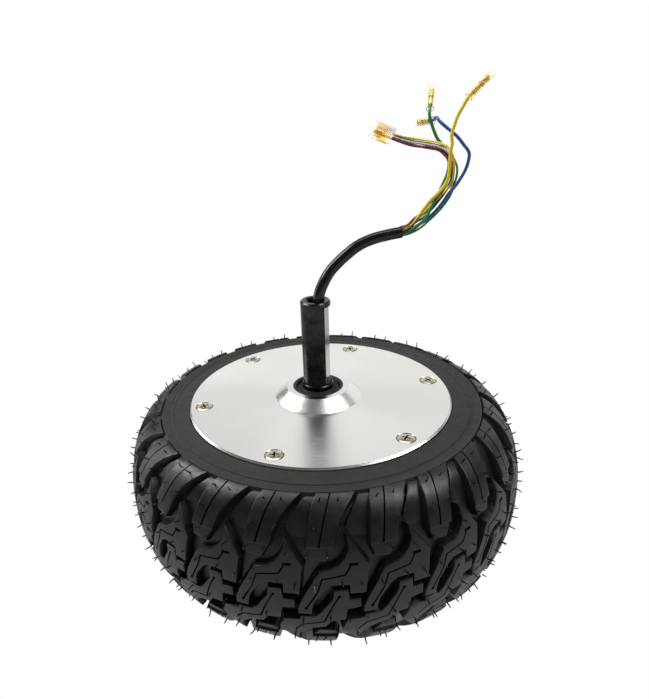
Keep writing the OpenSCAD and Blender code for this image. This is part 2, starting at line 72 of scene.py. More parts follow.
# ---- Camera, floor and light ----


def make_camera():
    """The main viewpoint: above and in front of the wheel, a little to its right."""
    data = bpy.data.cameras.new("camera")
    data.lens = 29.15
    data.sensor_width = 36
    data.shift_x = 0.0612
    data.shift_y = 0.0247
    data.clip_start = 0.01
    data.clip_end = 20
    camera = bpy.data.objects.new("camera", data)
    forward = Vector((-0.2706, 0.8639, -0.4249))
    up = Vector((-0.0646, 0.4241, 0.9033))
    right = forward.cross(up).normalized()
    up = right.cross(forward)
    turn = Matrix((right, up, -forward.normalized())).transposed().to_4x4()
    camera.matrix_world = Matrix.Translation(Vector((65.8, -276.1, 236.4)) * MM) @ turn
    bpy.context.scene.collection.objects.link(camera)
    bpy.context.scene.camera = camera


def add_object(name, mesh):
    piece = bpy.data.objects.new(name, mesh)
    bpy.context.scene.collection.objects.link(piece)
    return piece


SEEN_THROUGH = 0.5  # how white the surroundings look through clear plastic
FLOOR_HALF = 4.0  # metres
FLOOR_GLOW = 0.60  # what the floor sheds on the wheel, against 1 to the eye
WORLD_GLOW = 0.13  # what the surroundings shed on the wheel, against 1 to the eye


def make_floor():
    """Pure white floor that glows more softly on the wheel than to the eye."""
    mesh = bpy.data.meshes.new("floor")
    half = FLOOR_HALF
    corners = [(-half, -half, 0), (half, -half, 0), (half, half, 0), (-half, half, 0)]
    mesh.from_pydata(corners, [], [(0, 1, 2, 3)])
    floor = add_object("floor", mesh)
    glow = Shade("floor_white", (0, 0, 0), 1.0, specular_ior_level=0.0)
    glow.set("Emission Color", (1, 1, 1, 1))
    path = glow.node("ShaderNodeLightPath")
    seen = glow.math("MULTIPLY_ADD", path.outputs["Is Transmission Ray"], SEEN_THROUGH,
                     path.outputs["Is Camera Ray"])
    glow.link(glow.ramp(seen, FLOOR_GLOW, 1.0), glow.shader.inputs["Emission Strength"])
    mesh.materials.append(glow.finish())


def area_light(name, at, target, size, power):
    """A white soft box, hidden from the camera. Places and sizes are in metres, power in watts."""
    data = bpy.data.lights.new(name, "AREA")
    data.shape = "RECTANGLE"
    data.size, data.size_y = size
    data.energy = power
    light = bpy.data.objects.new(name, data)
    light.location = at
    aim = Vector(target) - Vector(at)
    light.rotation_euler = aim.to_track_quat("-Z", "Y").to_euler()
    light.visible_camera = False
    bpy.context.scene.collection.objects.link(light)


def make_light():
    """White to the eye, and through clear plastic, but dim around the wheel, with a bright wall
    behind and four soft boxes."""
    scene = bpy.context.scene
    scene.view_settings.view_transform = "Standard"
    world = bpy.data.worlds.new("studio")
    scene.world = world
    world.use_nodes = True
    tree = world.node_tree
    back = tree.nodes["Background"]
    back.inputs["Color"].default_value = (1, 1, 1, 1)
    back.inputs["Strength"].default_value = 1.0
    dim = tree.nodes.new("ShaderNodeBackground")
    dim.inputs["Strength"].default_value = WORLD_GLOW
    path = tree.nodes.new("ShaderNodeLightPath")
    seen = tree.nodes.new("ShaderNodeMath")
    seen.operation = "MULTIPLY_ADD"
    seen.inputs[1].default_value = SEEN_THROUGH
    tree.links.new(path.outputs["Is Transmission Ray"], seen.inputs[0])
    tree.links.new(path.outputs["Is Camera Ray"], seen.inputs[2])
    mix = tree.nodes.new("ShaderNodeMixShader")
    tree.links.new(seen.outputs[0], mix.inputs[0])
    tree.links.new(dim.outputs[0], mix.inputs[1])
    tree.links.new(back.outputs[0], mix.inputs[2])
    tree.links.new(mix.outputs[0], tree.nodes["World Output"].inputs["Surface"])
    middle = (0, 0, 0.06)
    area_light("wall", (0, 1.5, 0.6), middle, (3.2, 1.4), 11)
    area_light("key", (-0.75, 0.05, 0.95), middle, (0.45, 0.7), 9)
    area_light("fill", (0.75, -0.05, 0.95), middle, (0.4, 0.7), 6)
    area_light("top", (0.0, 0.2, 1.3), middle, (0.8, 0.4), 3.5)
    area_light("left", (-1.2, 0.1, 0.3), middle, (0.5, 0.8), 2.6)


# ---- Materials ----


class Shade:
    """A node material under construction, in object space, so its pattern rides with its piece."""

    def __init__(self, name, colour, roughness, metallic=0.0, **sockets):
        self.mat = bpy.data.materials.new(name)
        self.mat.use_nodes = True
        self.tree = self.mat.node_tree
        self.shader = self.tree.nodes["Principled BSDF"]
        self.set("Base Color", (*colour, 1))
        self.set("Roughness", roughness)
        self.set("Metallic", metallic)
        for key, value in sockets.items():
            self.set(key.replace("_", " ").title().replace("Ior", "IOR"), value)
        self.place = self.node("ShaderNodeTexCoord").outputs["Object"]

    def node(self, kind, **settings):
        made = self.tree.nodes.new(kind)
        for key, value in settings.items():
            setattr(made, key, value)
        return made

    def set(self, socket, value):
        self.shader.inputs[socket].default_value = value

    def link(self, source, target):
        self.tree.links.new(source, target)

    def noise(self, size_mm, detail=2.0, roughness=0.5, stretch=None):
        """Noise whose lumps are about size_mm across, 0 to 1."""
        made = self.node("ShaderNodeTexNoise")
        made.inputs["Scale"].default_value = 1 / (size_mm * MM)
        made.inputs["Detail"].default_value = detail
        made.inputs["Roughness"].default_value = roughness
        where = self.place
        if stretch:
            squeeze = self.node("ShaderNodeMapping")
            squeeze.inputs["Scale"].default_value = stretch
            self.link(where, squeeze.inputs["Vector"])
            where = squeeze.outputs[0]
        self.link(where, made.inputs["Vector"])
        return made.outputs["Fac"]

    def ramp(self, fac, low, high, start=0.0, end=1.0):
        """Value that runs from low to high while fac runs from start to end."""
        made = self.node("ShaderNodeMapRange", clamp=True)
        self.link(fac, made.inputs["Value"])
        keys = ("From Min", "From Max", "To Min", "To Max")
        for key, value in zip(keys, (start, end, low, high)):
            made.inputs[key].default_value = value
        return made.outputs[0]

    def math(self, what, a, b=None, c=None):
        """Result of one sum on numbers or sockets."""
        made = self.node("ShaderNodeMath", operation=what)
        for i, value in enumerate((a, b, c)):
            if value is None:
                continue
            if isinstance(value, (int, float)):
                made.inputs[i].default_value = value
            else:
                self.link(value, made.inputs[i])
        return made.outputs[0]

    def axis(self, name):
        """A point's place along X, Y or Z, in metres."""
        split = self.node("ShaderNodeSeparateXYZ")
        self.link(self.place, split.inputs[0])
        return split.outputs[name]

    def below(self, height):
        """1 where a point lies lower than a height in millimetres."""
        return self.math("LESS_THAN", self.axis("Z"), height * MM)

    def radius(self):
        """Distance from the wheel's axis, in metres."""
        flat = self.node("ShaderNodeVectorMath", operation="MULTIPLY")
        flat.inputs[1].default_value = (1, 1, 0)
        self.link(self.place, flat.inputs[0])
        length = self.node("ShaderNodeVectorMath", operation="LENGTH")
        self.link(flat.outputs[0], length.inputs[0])
        return length.outputs["Value"]

    def blend(self, fac, first, second):
        """Colour between first and second."""
        made = self.node("ShaderNodeMix", data_type="RGBA")
        self.link(fac, made.inputs["Factor"])
        for slot, value in (("A", first), ("B", second)):
            socket = next(s for s in made.inputs if s.name == slot and s.type == "RGBA")
            if isinstance(value, tuple):
                socket.default_value = (*value, 1)
            else:
                self.link(value, socket)
        return next(s for s in made.outputs if s.type == "RGBA")

    def colour(self, fac, first, second):
        self.link(self.blend(fac, first, second), self.shader.inputs["Base Color"])

    def rough(self, fac, low, high, start=0.3, end=0.7):
        self.link(self.ramp(fac, low, high, start, end), self.shader.inputs["Roughness"])

    def bump(self, height, depth_mm, strength=1.0):
        made = self.node("ShaderNodeBump")
        made.inputs["Distance"].default_value = depth_mm * MM
        made.inputs["Strength"].default_value = strength
        self.link(height, made.inputs["Height"])
        previous = self.shader.inputs["Normal"]
        if previous.is_linked:
            self.link(previous.links[0].from_socket, made.inputs["Normal"])
        self.link(made.outputs[0], self.shader.inputs["Normal"])

    def finish(self):
        return self.mat


def paint(node, mat):
    """Gives a carried-over CAD node its material."""
    mesh = NODES[node].data
    mesh.materials.clear()
    mesh.materials.append(mat)


def rubber(name="tyre_rubber_look", shade=0.006, gloss=0.34):
    made = Shade(name, (shade, shade, shade), gloss)
    cloud = made.noise(9, 4, 0.6)
    dark, dusty = (shade, shade, shade * 1.02), (shade * 2.2,) * 3
    made.colour(made.ramp(cloud, 0, 1, 0.4, 0.75), dark, dusty)
    patchy = made.ramp(made.noise(4, 5, 0.65), gloss - 0.06, gloss + 0.12, 0.3, 0.7)
    high = made.math("GREATER_THAN", made.axis("Z"), (TYRE_HIGH.z - 1.5) * MM)
    wall = made.math("MULTIPLY", high, made.math("LESS_THAN", made.radius(), (SIDE_R + 1) * MM))
    made.link(made.math("MULTIPLY_ADD", wall, 0.25, patchy), made.shader.inputs["Roughness"])
    made.bump(made.noise(0.35, 3, 0.6), 0.05, 0.5)
    return made.finish()


def turned_aluminium():
    """Bright facing cut: the tool's circles stretch every reflection into a radial fan. Painted
    shade darkens its holes and countersinks.
    """
    made = Shade("turned_aluminium_look", (0.90, 0.89, 0.86), 0.2, 1.0, anisotropic=0.85)
    tangent = made.node("ShaderNodeTangent", direction_type="RADIAL", axis="Z")
    made.link(tangent.outputs[0], made.shader.inputs["Tangent"])
    radius = made.radius()
    rings = made.node("ShaderNodeTexNoise", noise_dimensions="1D")
    rings.inputs["Scale"].default_value = 1 / (0.9 * MM)
    rings.inputs["Detail"].default_value = 4
    made.link(radius, rings.inputs["W"])
    smudge = made.noise(22, 4, 0.6)
    smudged = made.math("MULTIPLY", smudge, 0.65)
    tone = made.math("MULTIPLY_ADD", rings.outputs["Fac"], 0.35, smudged)
    bare = made.blend(made.ramp(tone, 0, 1, 0.35, 0.65), (0.88, 0.875, 0.84), (0.94, 0.935, 0.90))
    # Painted shade: faces below the plate's top, inside its rim, are coloured dark brown
    painted_recess_shade = made.math("MULTIPLY", made.below(PLATE_TOP - 0.1),
                     made.math("LESS_THAN", radius, (PLATE_R - 1.5) * MM))
    made.colour(painted_recess_shade, bare, (0.12, 0.10, 0.08))
    made.rough(tone, 0.18, 0.25, 0.35, 0.65)
    made.bump(rings.outputs["Fac"], 0.006, 0.5)
    return made.finish()


def simple_metal(name, colour, roughness, grain=3.0, variation=0.12):
    made = Shade(name, colour, roughness, 1.0)
    cloud = made.noise(grain, 4, 0.6)
    dark = tuple(c * (1 - variation) for c in colour)
    made.colour(made.ramp(cloud, 0, 1, 0.3, 0.7), dark, colour)
    made.rough(cloud, roughness * 0.8, roughness * 1.25)
    made.bump(made.noise(0.4, 3), 0.01, 0.4)
    return made.finish()


def screw_nickel():
    """Warm nickel heads, with painted shade down in the recess and round the countersink."""
    made = Shade("screw_nickel_look", (0.62, 0.57, 0.48), 0.28, 1.0)
    cloud = made.noise(1.5, 4, 0.6)
    plated = made.blend(made.ramp(cloud, 0, 1, 0.3, 0.7), (0.50, 0.46, 0.36), (0.68, 0.64, 0.53))
    # Painted shade: below the plate's top face the heads turn near black brown
    made.colour(made.below(PLATE_TOP - 0.12), plated, (0.05, 0.035, 0.02))
    made.rough(cloud, 0.24, 0.36)
    return made.finish()


def simple_plastic(name, colour, roughness=0.4, grain=2.0, variation=0.15, **sockets):
    made = Shade(name, colour, roughness, 0.0, **sockets)
    cloud = made.noise(grain, 3, 0.5)
    dark = tuple(c * (1 - variation) for c in colour)
    made.colour(made.ramp(cloud, 0, 1, 0.3, 0.7), dark, colour)
    made.rough(cloud, roughness * 0.85, roughness * 1.2)
    made.bump(made.noise(0.5, 2), 0.02, 0.3)
    return made.finish()


def blackened_steel():
    """Oil-blackened axle with rub marks, and bare ground steel on the milled flat."""
    made = Shade("blackened_steel_look", (0.09, 0.09, 0.095), 0.34, 1.0)
    cloud = made.noise(5, 5, 0.65)
    marks = made.noise(1.6, 5, 0.75, stretch=(3.0, 3.0, 0.25))
    oxide = made.blend(made.ramp(cloud, 0, 1, 0.35, 0.65),
                       (0.022, 0.022, 0.024), (0.055, 0.055, 0.058))
    worn = made.blend(made.ramp(marks, 0, 1, 0.62, 0.76), oxide, (0.25, 0.25, 0.25))
    side = made.axis("X")
    on_flat = made.math("MULTIPLY", made.math("GREATER_THAN", side, (FLAT_X - 0.02) * MM),
                        made.math("GREATER_THAN", made.axis("Z"), FLAT_LOW * MM))
    on_flat = made.math("MULTIPLY", on_flat, made.math("LESS_THAN", side, (FLAT_X + 0.02) * MM))
    made.colour(on_flat, worn, (0.5, 0.5, 0.5))
    made.rough(marks, 0.15, 0.34)
    made.bump(marks, 0.02, 0.3)
    return made.finish()


WIRE_COLOURS = {
    "yellow": (1.0, 0.74, 0.02),
    "green": (0.022, 0.25, 0.05),
    "blue": (0.022, 0.095, 0.33),
    "red": (0.26, 0.010, 0.02),
    "black": (0.02, 0.02, 0.028),
    "white": (0.82, 0.81, 0.80),
    "slate": (0.05, 0.075, 0.21),
}


def wire_coat(name, colour):
    made = Shade(name, colour, 0.28)
    cloud = made.noise(3, 3, 0.5)
    made.colour(made.ramp(cloud, 0, 1, 0.3, 0.7), tuple(c * 0.82 for c in colour), colour)
    made.rough(cloud, 0.24, 0.36)
    made.bump(made.noise(0.8, 2), 0.03, 0.4)
    return made.finish()


# ---- Cable and wires ----

JACKET_D, PHASE_D, SENSOR_D = 6.0, 1.6, 1.1

JACKET_ROUTE = [
    (1, 0.2, 128), (1, 0.2, 134), (1.5, 0.5, 140), (2.5, 1, 145), (4.5, 2.5, 150), (7, 5, 154.5),
    (10.5, 7, 158.5), (15, 9.5, 162.5), (20.5, 12.5, 166.5), (26.5, 15.5, 169), (33.5, 18.5, 170.5),
    (41.5, 22, 171.5)]
PHASE_ROUTES = {
    "green": [
        (42, 21.5, 170.5), (46, 22.5, 172), (50.5, 22, 175.5), (54, 22.5, 179.5), (56, 24, 184),
        (58, 26, 187.5), (59.5, 28.5, 191), (61, 30.5, 194.5), (62.5, 32.5, 198.5), (63, 34.5, 203),
        (62, 35.5, 207.5), (60, 36, 211), (57, 34.5, 214.5), (55, 33, 218.5), (53.5, 31.5, 222.5),
        (52.5, 31.5, 226), (52.5, 33, 228.5), (52.5, 35, 230.2)],
    "yellow": [
        (41.5, 22, 172.5), (45.5, 23.5, 173.5), (49.5, 24.5, 178.5), (52.5, 24.5, 183),
        (55.5, 25, 187), (58.5, 25, 190), (61.5, 26, 193.5), (63, 26.5, 197), (63.5, 27, 201),
        (63.5, 27, 205), (63.5, 27, 209), (64, 26, 213), (63.5, 25, 217), (64.5, 24.5, 221),
        (65.5, 24, 224.5), (67.5, 23.5, 228.5), (70, 23.5, 232.8), (71.6, 24.6, 234.4)],
    "blue": [
        (41, 23.5, 171), (45.5, 25, 172), (50.5, 25, 175), (54.5, 25, 178), (58.5, 25, 182),
        (61.5, 25.5, 186), (64, 25.5, 190), (66.5, 25.5, 193), (69, 25.5, 197), (71, 26, 201),
        (72, 26, 205), (72, 26, 208.5), (69.5, 26.5, 212), (65.5, 27, 216.5), (60.5, 27, 220.5),
        (57.5, 28.5, 223), (56, 30.5, 224.5), (55, 33, 224.2), (54, 36, 223.2), (52.5, 38, 223)],
}
SENSOR_ROUTES = {
    "red": [
        (42, 20.5, 173.5), (44.5, 23, 175), (47.5, 26.5, 177.5), (52, 28.5, 180.5),
        (55.5, 29, 184.5), (59, 29.5, 188.5), (62, 29.5, 192.5), (63, 30, 196.5),
        (63.5, 30, 201.5), (62.5, 30.5, 205), (60, 31, 208), (56, 32, 210.5), (49.5, 32, 211.5),
        (44.5, 32, 212.3), (38.5, 32.3, 214.3), (34.7, 32.5, 215.8)],
    "black": [
        (42.5, 20, 172), (45.5, 21, 173.5), (48.5, 21.5, 176.5), (52.5, 25, 178.5),
        (55.5, 26.5, 181.5), (58.5, 28.5, 185), (61.5, 29.5, 189), (63.5, 29.5, 192.5),
        (64.5, 29.5, 196.5), (64.5, 30, 200.5), (63.5, 31, 204.5), (61.5, 32, 207),
        (58.5, 32.5, 209.2), (51, 33.5, 211), (45, 34, 212.5), (38.5, 34.4, 214.6),
        (34.8, 34.5, 216.1)],
    "yellow": [
        (40.5, 23.5, 173), (44.5, 25, 173.5), (48.5, 26.5, 176.5), (52.5, 27, 180.5),
        (56, 27.5, 184.5), (59, 28, 187.5), (62, 28, 190.5), (64.5, 27.5, 194), (65.5, 27, 198),
        (65.5, 27.5, 202), (65, 28, 205.5), (63.5, 29, 209.5), (60.5, 31, 212),
        (52.5, 37, 213.9), (46.5, 41, 214.6), (39.3, 42.4, 215.8), (35.3, 42.5, 217.1)],
    "green": [
        (41.5, 22.5, 169.5), (46, 24, 170.5), (51, 23, 173.5), (55, 26.5, 176.5), (59, 27, 180.5),
        (62.5, 27, 185), (65, 27, 189.5), (66, 27.5, 193.5), (67, 28.5, 197.5), (67, 30, 201.5),
        (66, 31.5, 204), (63.5, 33, 207.5), (60, 33.5, 210.5), (52.5, 37.5, 212.6),
        (46, 39.8, 213.6), (39, 40.4, 215.4), (35.2, 40.5, 216.9)],
    "blue": [
        (41, 22.5, 174), (44.5, 25.5, 174.5), (48, 28.5, 176.5), (52.5, 29.5, 179.5), (56, 30, 183),
        (59.5, 30.5, 186.5), (62.5, 30.5, 190.5), (64, 31.5, 194.5), (65, 32, 198.5),
        (64.5, 32.5, 203), (62.5, 33, 206.5), (59.5, 33.5, 209.5), (52, 36.3, 211.7),
        (46, 37.8, 213.2), (38.8, 38.4, 215.2), (35, 38.5, 216.6)],
    "white": [
        (40.5, 24, 172), (44.5, 26.5, 172.5), (50, 27.5, 174), (54, 28, 176.5), (58, 28.5, 180),
        (61.5, 28.5, 184.5), (64, 28.5, 189), (65, 29, 193), (65.5, 29, 197), (65.5, 29, 201.5),
        (65, 30, 205), (63, 31.5, 208), (59.5, 32, 210.5), (52, 34.5, 212.3), (45.5, 36, 213.3),
        (38.7, 36.4, 215), (34.9, 36.5, 216.4)],
}


def cord_curve(name, route, diameter, mat):
    """A round cord as one smooth open spline through its route's points."""
    data = bpy.data.curves.new(name, "CURVE")
    data.dimensions = "3D"
    data.resolution_u = 8
    data.bevel_depth = diameter / 2 * MM
    data.bevel_resolution = 3
    data.use_fill_caps = True
    spline = data.splines.new("BEZIER")
    spline.bezier_points.add(len(route) - 1)
    for point, at in zip(spline.bezier_points, route):
        point.co = Vector(at) * MM
        point.handle_left_type = point.handle_right_type = "AUTO"
    data.materials.append(mat)
    return add_object(name, data)


def make_cords():
    jacket = cord_curve("cable_jacket_look", JACKET_ROUTE, JACKET_D,
                        simple_plastic("jacket_look", (0.005, 0.005, 0.006), 0.2, 5, 0.3))
    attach(jacket, "stator")
    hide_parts("cable_jacket")
    for colour, route in PHASE_ROUTES.items():
        wire = cord_curve("phase_wire_%s_look" % colour, route, PHASE_D,
                          wire_coat("phase_%s_look" % colour, WIRE_COLOURS[colour]))
        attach(wire, "stator")
        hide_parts("phase_wire_" + colour)
    for colour, route in SENSOR_ROUTES.items():
        look = "slate" if colour == "blue" else colour
        wire = cord_curve("sensor_wire_%s_look" % colour, route, SENSOR_D,
                          wire_coat("sensor_%s_look" % colour, WIRE_COLOURS[look]))
        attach(wire, "stator")
        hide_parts("sensor_wire_" + colour)


# ---- Tyre ----

# The tread repeats PITCHES times. A pitch's outlines are drawn in steps, STEPS to a pitch.
PITCHES = 24
PITCH = 360 / PITCHES
FIRST_PITCH = -77.3 - 11 * PITCH
STEPS = 15.65
DEGREES_PER_STEP = PITCH / STEPS
MM_PER_STEP = math.radians(CROWN_R) * DEGREES_PER_STEP

# The section, in millimetres: the sidewall's outer edge, then arcs of (radius, degrees)
SIDE_R = CROWN_R - 22.7
SHOULDER_ARCS = [(12, 25), (20, 25), (40, 20), (63, 20)]
SIDE_LIP = 6.0  # flat sidewall included at the end of the tread's surface
GROOVE = 4.2  # depth of the grooves at the crown
GROOVE_END, GROOVE_FADE = 52.8, 6.5  # where the grooves run out, and over what length
RAMP_TOP, RAMP_RUN = 47, 18  # where the shoulder's ramp starts to fall, and over what length
EMBED = 0.8  # how far the blocks reach into the carcass
SIPE_LOW, SIPE_W, FIN_SIPE_W = -3.0, 0.8, 0.75  # the fine cuts' depth and widths
GRID = (4.0, 2.8)  # size of the faces that bend round the tyre
RING_STEPS = 230


def arc_chain(start, heading, arcs, step=2.0):
    """Points along tangent arcs, each (radius, turn in degrees), turning clockwise."""
    points = [start]
    for radius, turn in arcs:
        count = max(1, round(math.radians(turn) * radius / step))
        for i in range(1, count + 1):
            now = math.radians(heading - turn * (i - 0.5) / count)
            chord = 2 * radius * math.sin(math.radians(turn) / count / 2)
            last = points[-1]
            points.append((last[0] + chord * math.cos(now), last[1] + chord * math.sin(now)))
        heading -= turn
    return points


class Surface:
    """The tread's outer surface: v is the distance along it from the centre plane, h the height."""

    def __init__(self):
        fine = arc_chain((SIDE_R, HALF_W), 0, SHOULDER_ARCS, 0.5)
        points = [(SIDE_R - SIDE_LIP, HALF_W)] + fine + [(CROWN_R, 0)]
        points = np.array(points[::-1])
        steps = np.hypot(*np.diff(points, axis=0).T)
        self.v = np.concatenate([[0], np.cumsum(steps)])
        self.points = points
        slope = np.gradient(points, self.v, axis=0)
        normal = np.stack([slope[:, 1], -slope[:, 0]], axis=1)
        normal[0] = (1, 0)
        self.normal = normal / np.linalg.norm(normal, axis=1)[:, None]
        self.edge_v = self.v[-1] - SIDE_LIP

    def at(self, v, h):
        """(r, z) arrays of points at v, raised by h."""
        v = np.asarray(v, float)
        side = np.where(v < 0, -1, 1)
        reach = np.abs(v)
        r, z = (np.interp(reach, self.v, column) for column in self.points.T)
        nr, nz = (np.interp(reach, self.v, column) for column in self.normal.T)
        return r + nr * h, MID_Z + side * (z + nz * h)


def groove_depth(v):
    """Depth of the grooves, which run out at the sidewall."""
    t = np.clip((GROOVE_END - np.abs(v)) / GROOVE_FADE, 0, 1)
    return GROOVE * t * t * (3 - 2 * t)


SURFACE = Surface()

# Outlines of one pitch's blocks: (steps from the pitch's centre, mm from the centre plane)
LUG = [(-1.0, 50), (10.2, 50), (7.3, 43.7), (5.2, 38.4), (3.8, 32.6), (2.8, 26.2), (-3.7, 26.2),
       (-3.3, 32.6), (-2.7, 39.4), (-2.1, 45.2)]
LUG_FOOT = [(2.85, 27), (1.0, 20.5), (-2.9, 21.3), (-3.75, 27)]
LUG_SIPE = [(3.3, 52), (2.3, 46), (1.2, 40.3), (0.4, 34.5), (-0.2, 29.7), (-0.5, 27.4)]
RAMP = [(11.3, 50), (9.0, 43.7), (7.2, 38.4), (6.3, 34.2), (7.3, 30.4), (9.2, 26), (12.4, 26),
        (13.0, 32.6), (13.6, 39.4), (14.2, 45.2), (15.3, 50)]
FIN = [(6.2, 31.8), (8.5, 25.8), (10.6, 20), (11.2, 18.3), (10.9, 16.1), (10.6, 10.3), (10.2, 4.7),
       (6.5, 4.7), (6.5, 9.4), (2.3, 9.4), (0.6, 7.4), (-0.6, 4.1), (-1.9, 0.7), (-2.5, -3.2),
       (-2.7, -6.8), (-5.9, -6.8), (-5.8, -3.2), (-4.8, 1.6), (-3.5, 6.5), (-2.3, 10.3),
       (-1.9, 12.3), (-0.6, 15.7), (2.3, 17.1), (4, 19), (5.6, 22), (6.6, 25.8), (6.5, 28.7)]
FIN_SIPE = [(6.8, 18.6), (6.5, 17.6), (5.4, 14.4), (0, 12.6), (-1, 6.5), (-2.7, 0.7), (-3.8, -3.0)]
FIN_NOTCH = [(6.4, 19.7), (8.6, 19.7), (8.4, 18.4), (6.4, 18.4)]
LOWER = [(2.8, 6.6), (6.0, 6.7), (6.2, 3.6), (6.3, 1.2), (9.0, 1.2), (9.0, -3.4), (5.9, -4.2),
         (5.3, -10.8), (2.0, -11.6), (0.6, -15.7), (-2.3, -17.1), (-4, -19), (-5.6, -22),
         (-6.6, -25.8), (-6.5, -28.7), (-6.2, -31.8), (-8.5, -25.8), (-10.6, -20), (-11, -18.3),
         (-10.5, -15.7), (-9.6, -11.2), (-5.6, -10.6), (-5.4, -8.6), (-1.9, -8.4), (-0.4, -5.8),
         (1.0, -1.8), (2.3, 1.4), (2.6, 3.1)]
LOWER_SIPE = [(3.8, 3.0), (2.7, -0.7), (1.4, -6.2), (0.2, -11.9), (-4.9, -14.2), (-6.5, -17.6),
              (-6.9, -19.2)]
VENTS = [(0.0, 46), (5.0, 46), (-1.7, 35.5), (4.4, 35.5), (-3.3, 23.4), (1.5, 23.4), (7.1, 23.4),
         (4.8, 10.5), (9.4, 9.4), (-1.6, 9.2)]


def ramp_drop(v):
    """How far the shoulder's ramp lies below the blocks, more towards the crown."""
    t = np.clip((RAMP_TOP - abs(v)) / RAMP_RUN, 0, 1)
    return 2.0 + (GROOVE - 1.8) * t ** 1.2


def turned(points):
    """The same outline turned half way round the pitch's centre."""
    return [(-u, -v) for u, v in points]


def flat(points):
    """The outline in flat millimetres."""
    return [Vector((u * MM_PER_STEP, v)) for u, v in points]


def signed_area(points):
    return sum(a.x * b.y - b.x * a.y for a, b in zip(points, points[1:] + points[:1])) / 2


def grown(points, distances):
    """A counter-clockwise outline moved outwards at each point, with mitred corners."""
    count = len(points)
    result = []
    for i, point in enumerate(points):
        before = (point - points[i - 1]).normalized()
        after = (points[(i + 1) % count] - point).normalized()
        n1, n2 = Vector((before.y, -before.x)), Vector((after.y, -after.x))
        mitre = n1 + n2
        scale = 1 / max(0.45, mitre.length_squared / 2)
        result.append(point + mitre * scale * distances[i])
    return result


def drafted_block(points, height=0.0, draft=1.1, edge=0.35):
    """A block with drafted walls and a rounded top edge, flat: x across, y up, z height."""
    points = flat(points)
    if signed_area(points) < 0:
        points = points[::-1]
    depth = [float(groove_depth(p.y)) + EMBED + height for p in points]
    levels = [
        ([-d for d in depth], [draft * d / (GROOVE + EMBED) for d in depth]),
        ([-min(0.5, 0.55 * d) for d in depth], [0.12] * len(points)),
        ([-min(0.14, 0.2 * d) for d in depth], [-0.04] * len(points)),
        ([0.0] * len(points), [-edge] * len(points)),
    ]
    mesh = bmesh.new()
    rings = []
    for heights, distances in levels:
        ring = grown(points, distances)
        rings.append([mesh.verts.new((p.x, p.y, h + height)) for p, h in zip(ring, heights)])
    count = len(points)
    for low, high in zip(rings, rings[1:]):
        for i in range(count):
            k = (i + 1) % count
            mesh.faces.new((low[i], low[k], high[k], high[i]))
    mesh.faces.new(rings[-1])
    mesh.faces.new(rings[0][::-1])
    return mesh


def ribbon(points, width):
    """Outline of a strip along a line of points."""
    line = flat(points)
    left, right = [], []
    for i, point in enumerate(line):
        before = (point - line[max(i - 1, 0)]).normalized() if i else (line[1] - point).normalized()
        after = (line[i + 1] - point).normalized() if i + 1 < len(line) else before
        mitre = Vector((before.y + after.y, -(before.x + after.x)))
        mitre = mitre / max(0.6, mitre.length_squared / 2)
        left.append(point - mitre * width / 2)
        right.append(point + mitre * width / 2)
    return right + left[::-1]


def prism(points, low, high):
    """A straight-walled prism over an outline in flat millimetres."""
    if signed_area(points) < 0:
        points = points[::-1]
    mesh = bmesh.new()
    bottom = [mesh.verts.new((p.x, p.y, low)) for p in points]
    top = [mesh.verts.new((p.x, p.y, high)) for p in points]
    for i in range(len(points)):
        k = (i + 1) % len(points)
        mesh.faces.new((bottom[i], bottom[k], top[k], top[i]))
    mesh.faces.new(top)
    mesh.faces.new(bottom[::-1])
    return mesh


def disc(centre, r, sides=10):
    """Outline of a round hole in flat millimetres."""
    middle = flat([centre])[0]
    return [middle + r * Vector((math.cos(a), math.sin(a)))
            for a in (2 * math.pi * i / sides for i in range(sides))]


def as_object(mesh, name="scratch"):
    data = bpy.data.meshes.new(name)
    mesh.to_mesh(data)
    mesh.free()
    return add_object(name, data)


def cut(block, cutters):
    """The block with the cutters taken away, as a bmesh."""
    body = as_object(block)
    tools = [as_object(c) for c in cutters]
    for tool in tools:
        step = body.modifiers.new("cut", "BOOLEAN")
        step.operation = "DIFFERENCE"
        step.solver = "EXACT"
        step.object = tool
    bpy.context.view_layer.update()
    ready = body.evaluated_get(bpy.context.evaluated_depsgraph_get())
    result = bmesh.new()
    result.from_mesh(ready.to_mesh())
    ready.to_mesh_clear()
    top = max(v.co.z for v in body.data.vertices) + 0.001
    bmesh.ops.delete(result, geom=[v for v in result.verts if v.co.z > top], context="VERTS")
    bmesh.ops.delete(result, geom=[v for v in result.verts if not v.link_faces], context="VERTS")
    for extra in [body] + tools:
        bpy.data.objects.remove(extra, do_unlink=True)
    return result


def sliced(mesh, step_u, step_v):
    """Cuts the faces along a grid, so that they can follow the tyre's curve."""
    xs = [v.co.x for v in mesh.verts]
    ys = [v.co.y for v in mesh.verts]
    for values, step, axis in ((xs, step_u, (1, 0, 0)), (ys, step_v, (0, 1, 0))):
        first = math.floor(min(values) / step) + 1
        last = math.ceil(max(values) / step)
        for i in range(first, last):
            everything = mesh.verts[:] + mesh.edges[:] + mesh.faces[:]
            where = Vector(axis) * (i * step + 0.013)
            bmesh.ops.bisect_plane(mesh, geom=everything, dist=1e-5, plane_co=where, plane_no=axis)
    return mesh


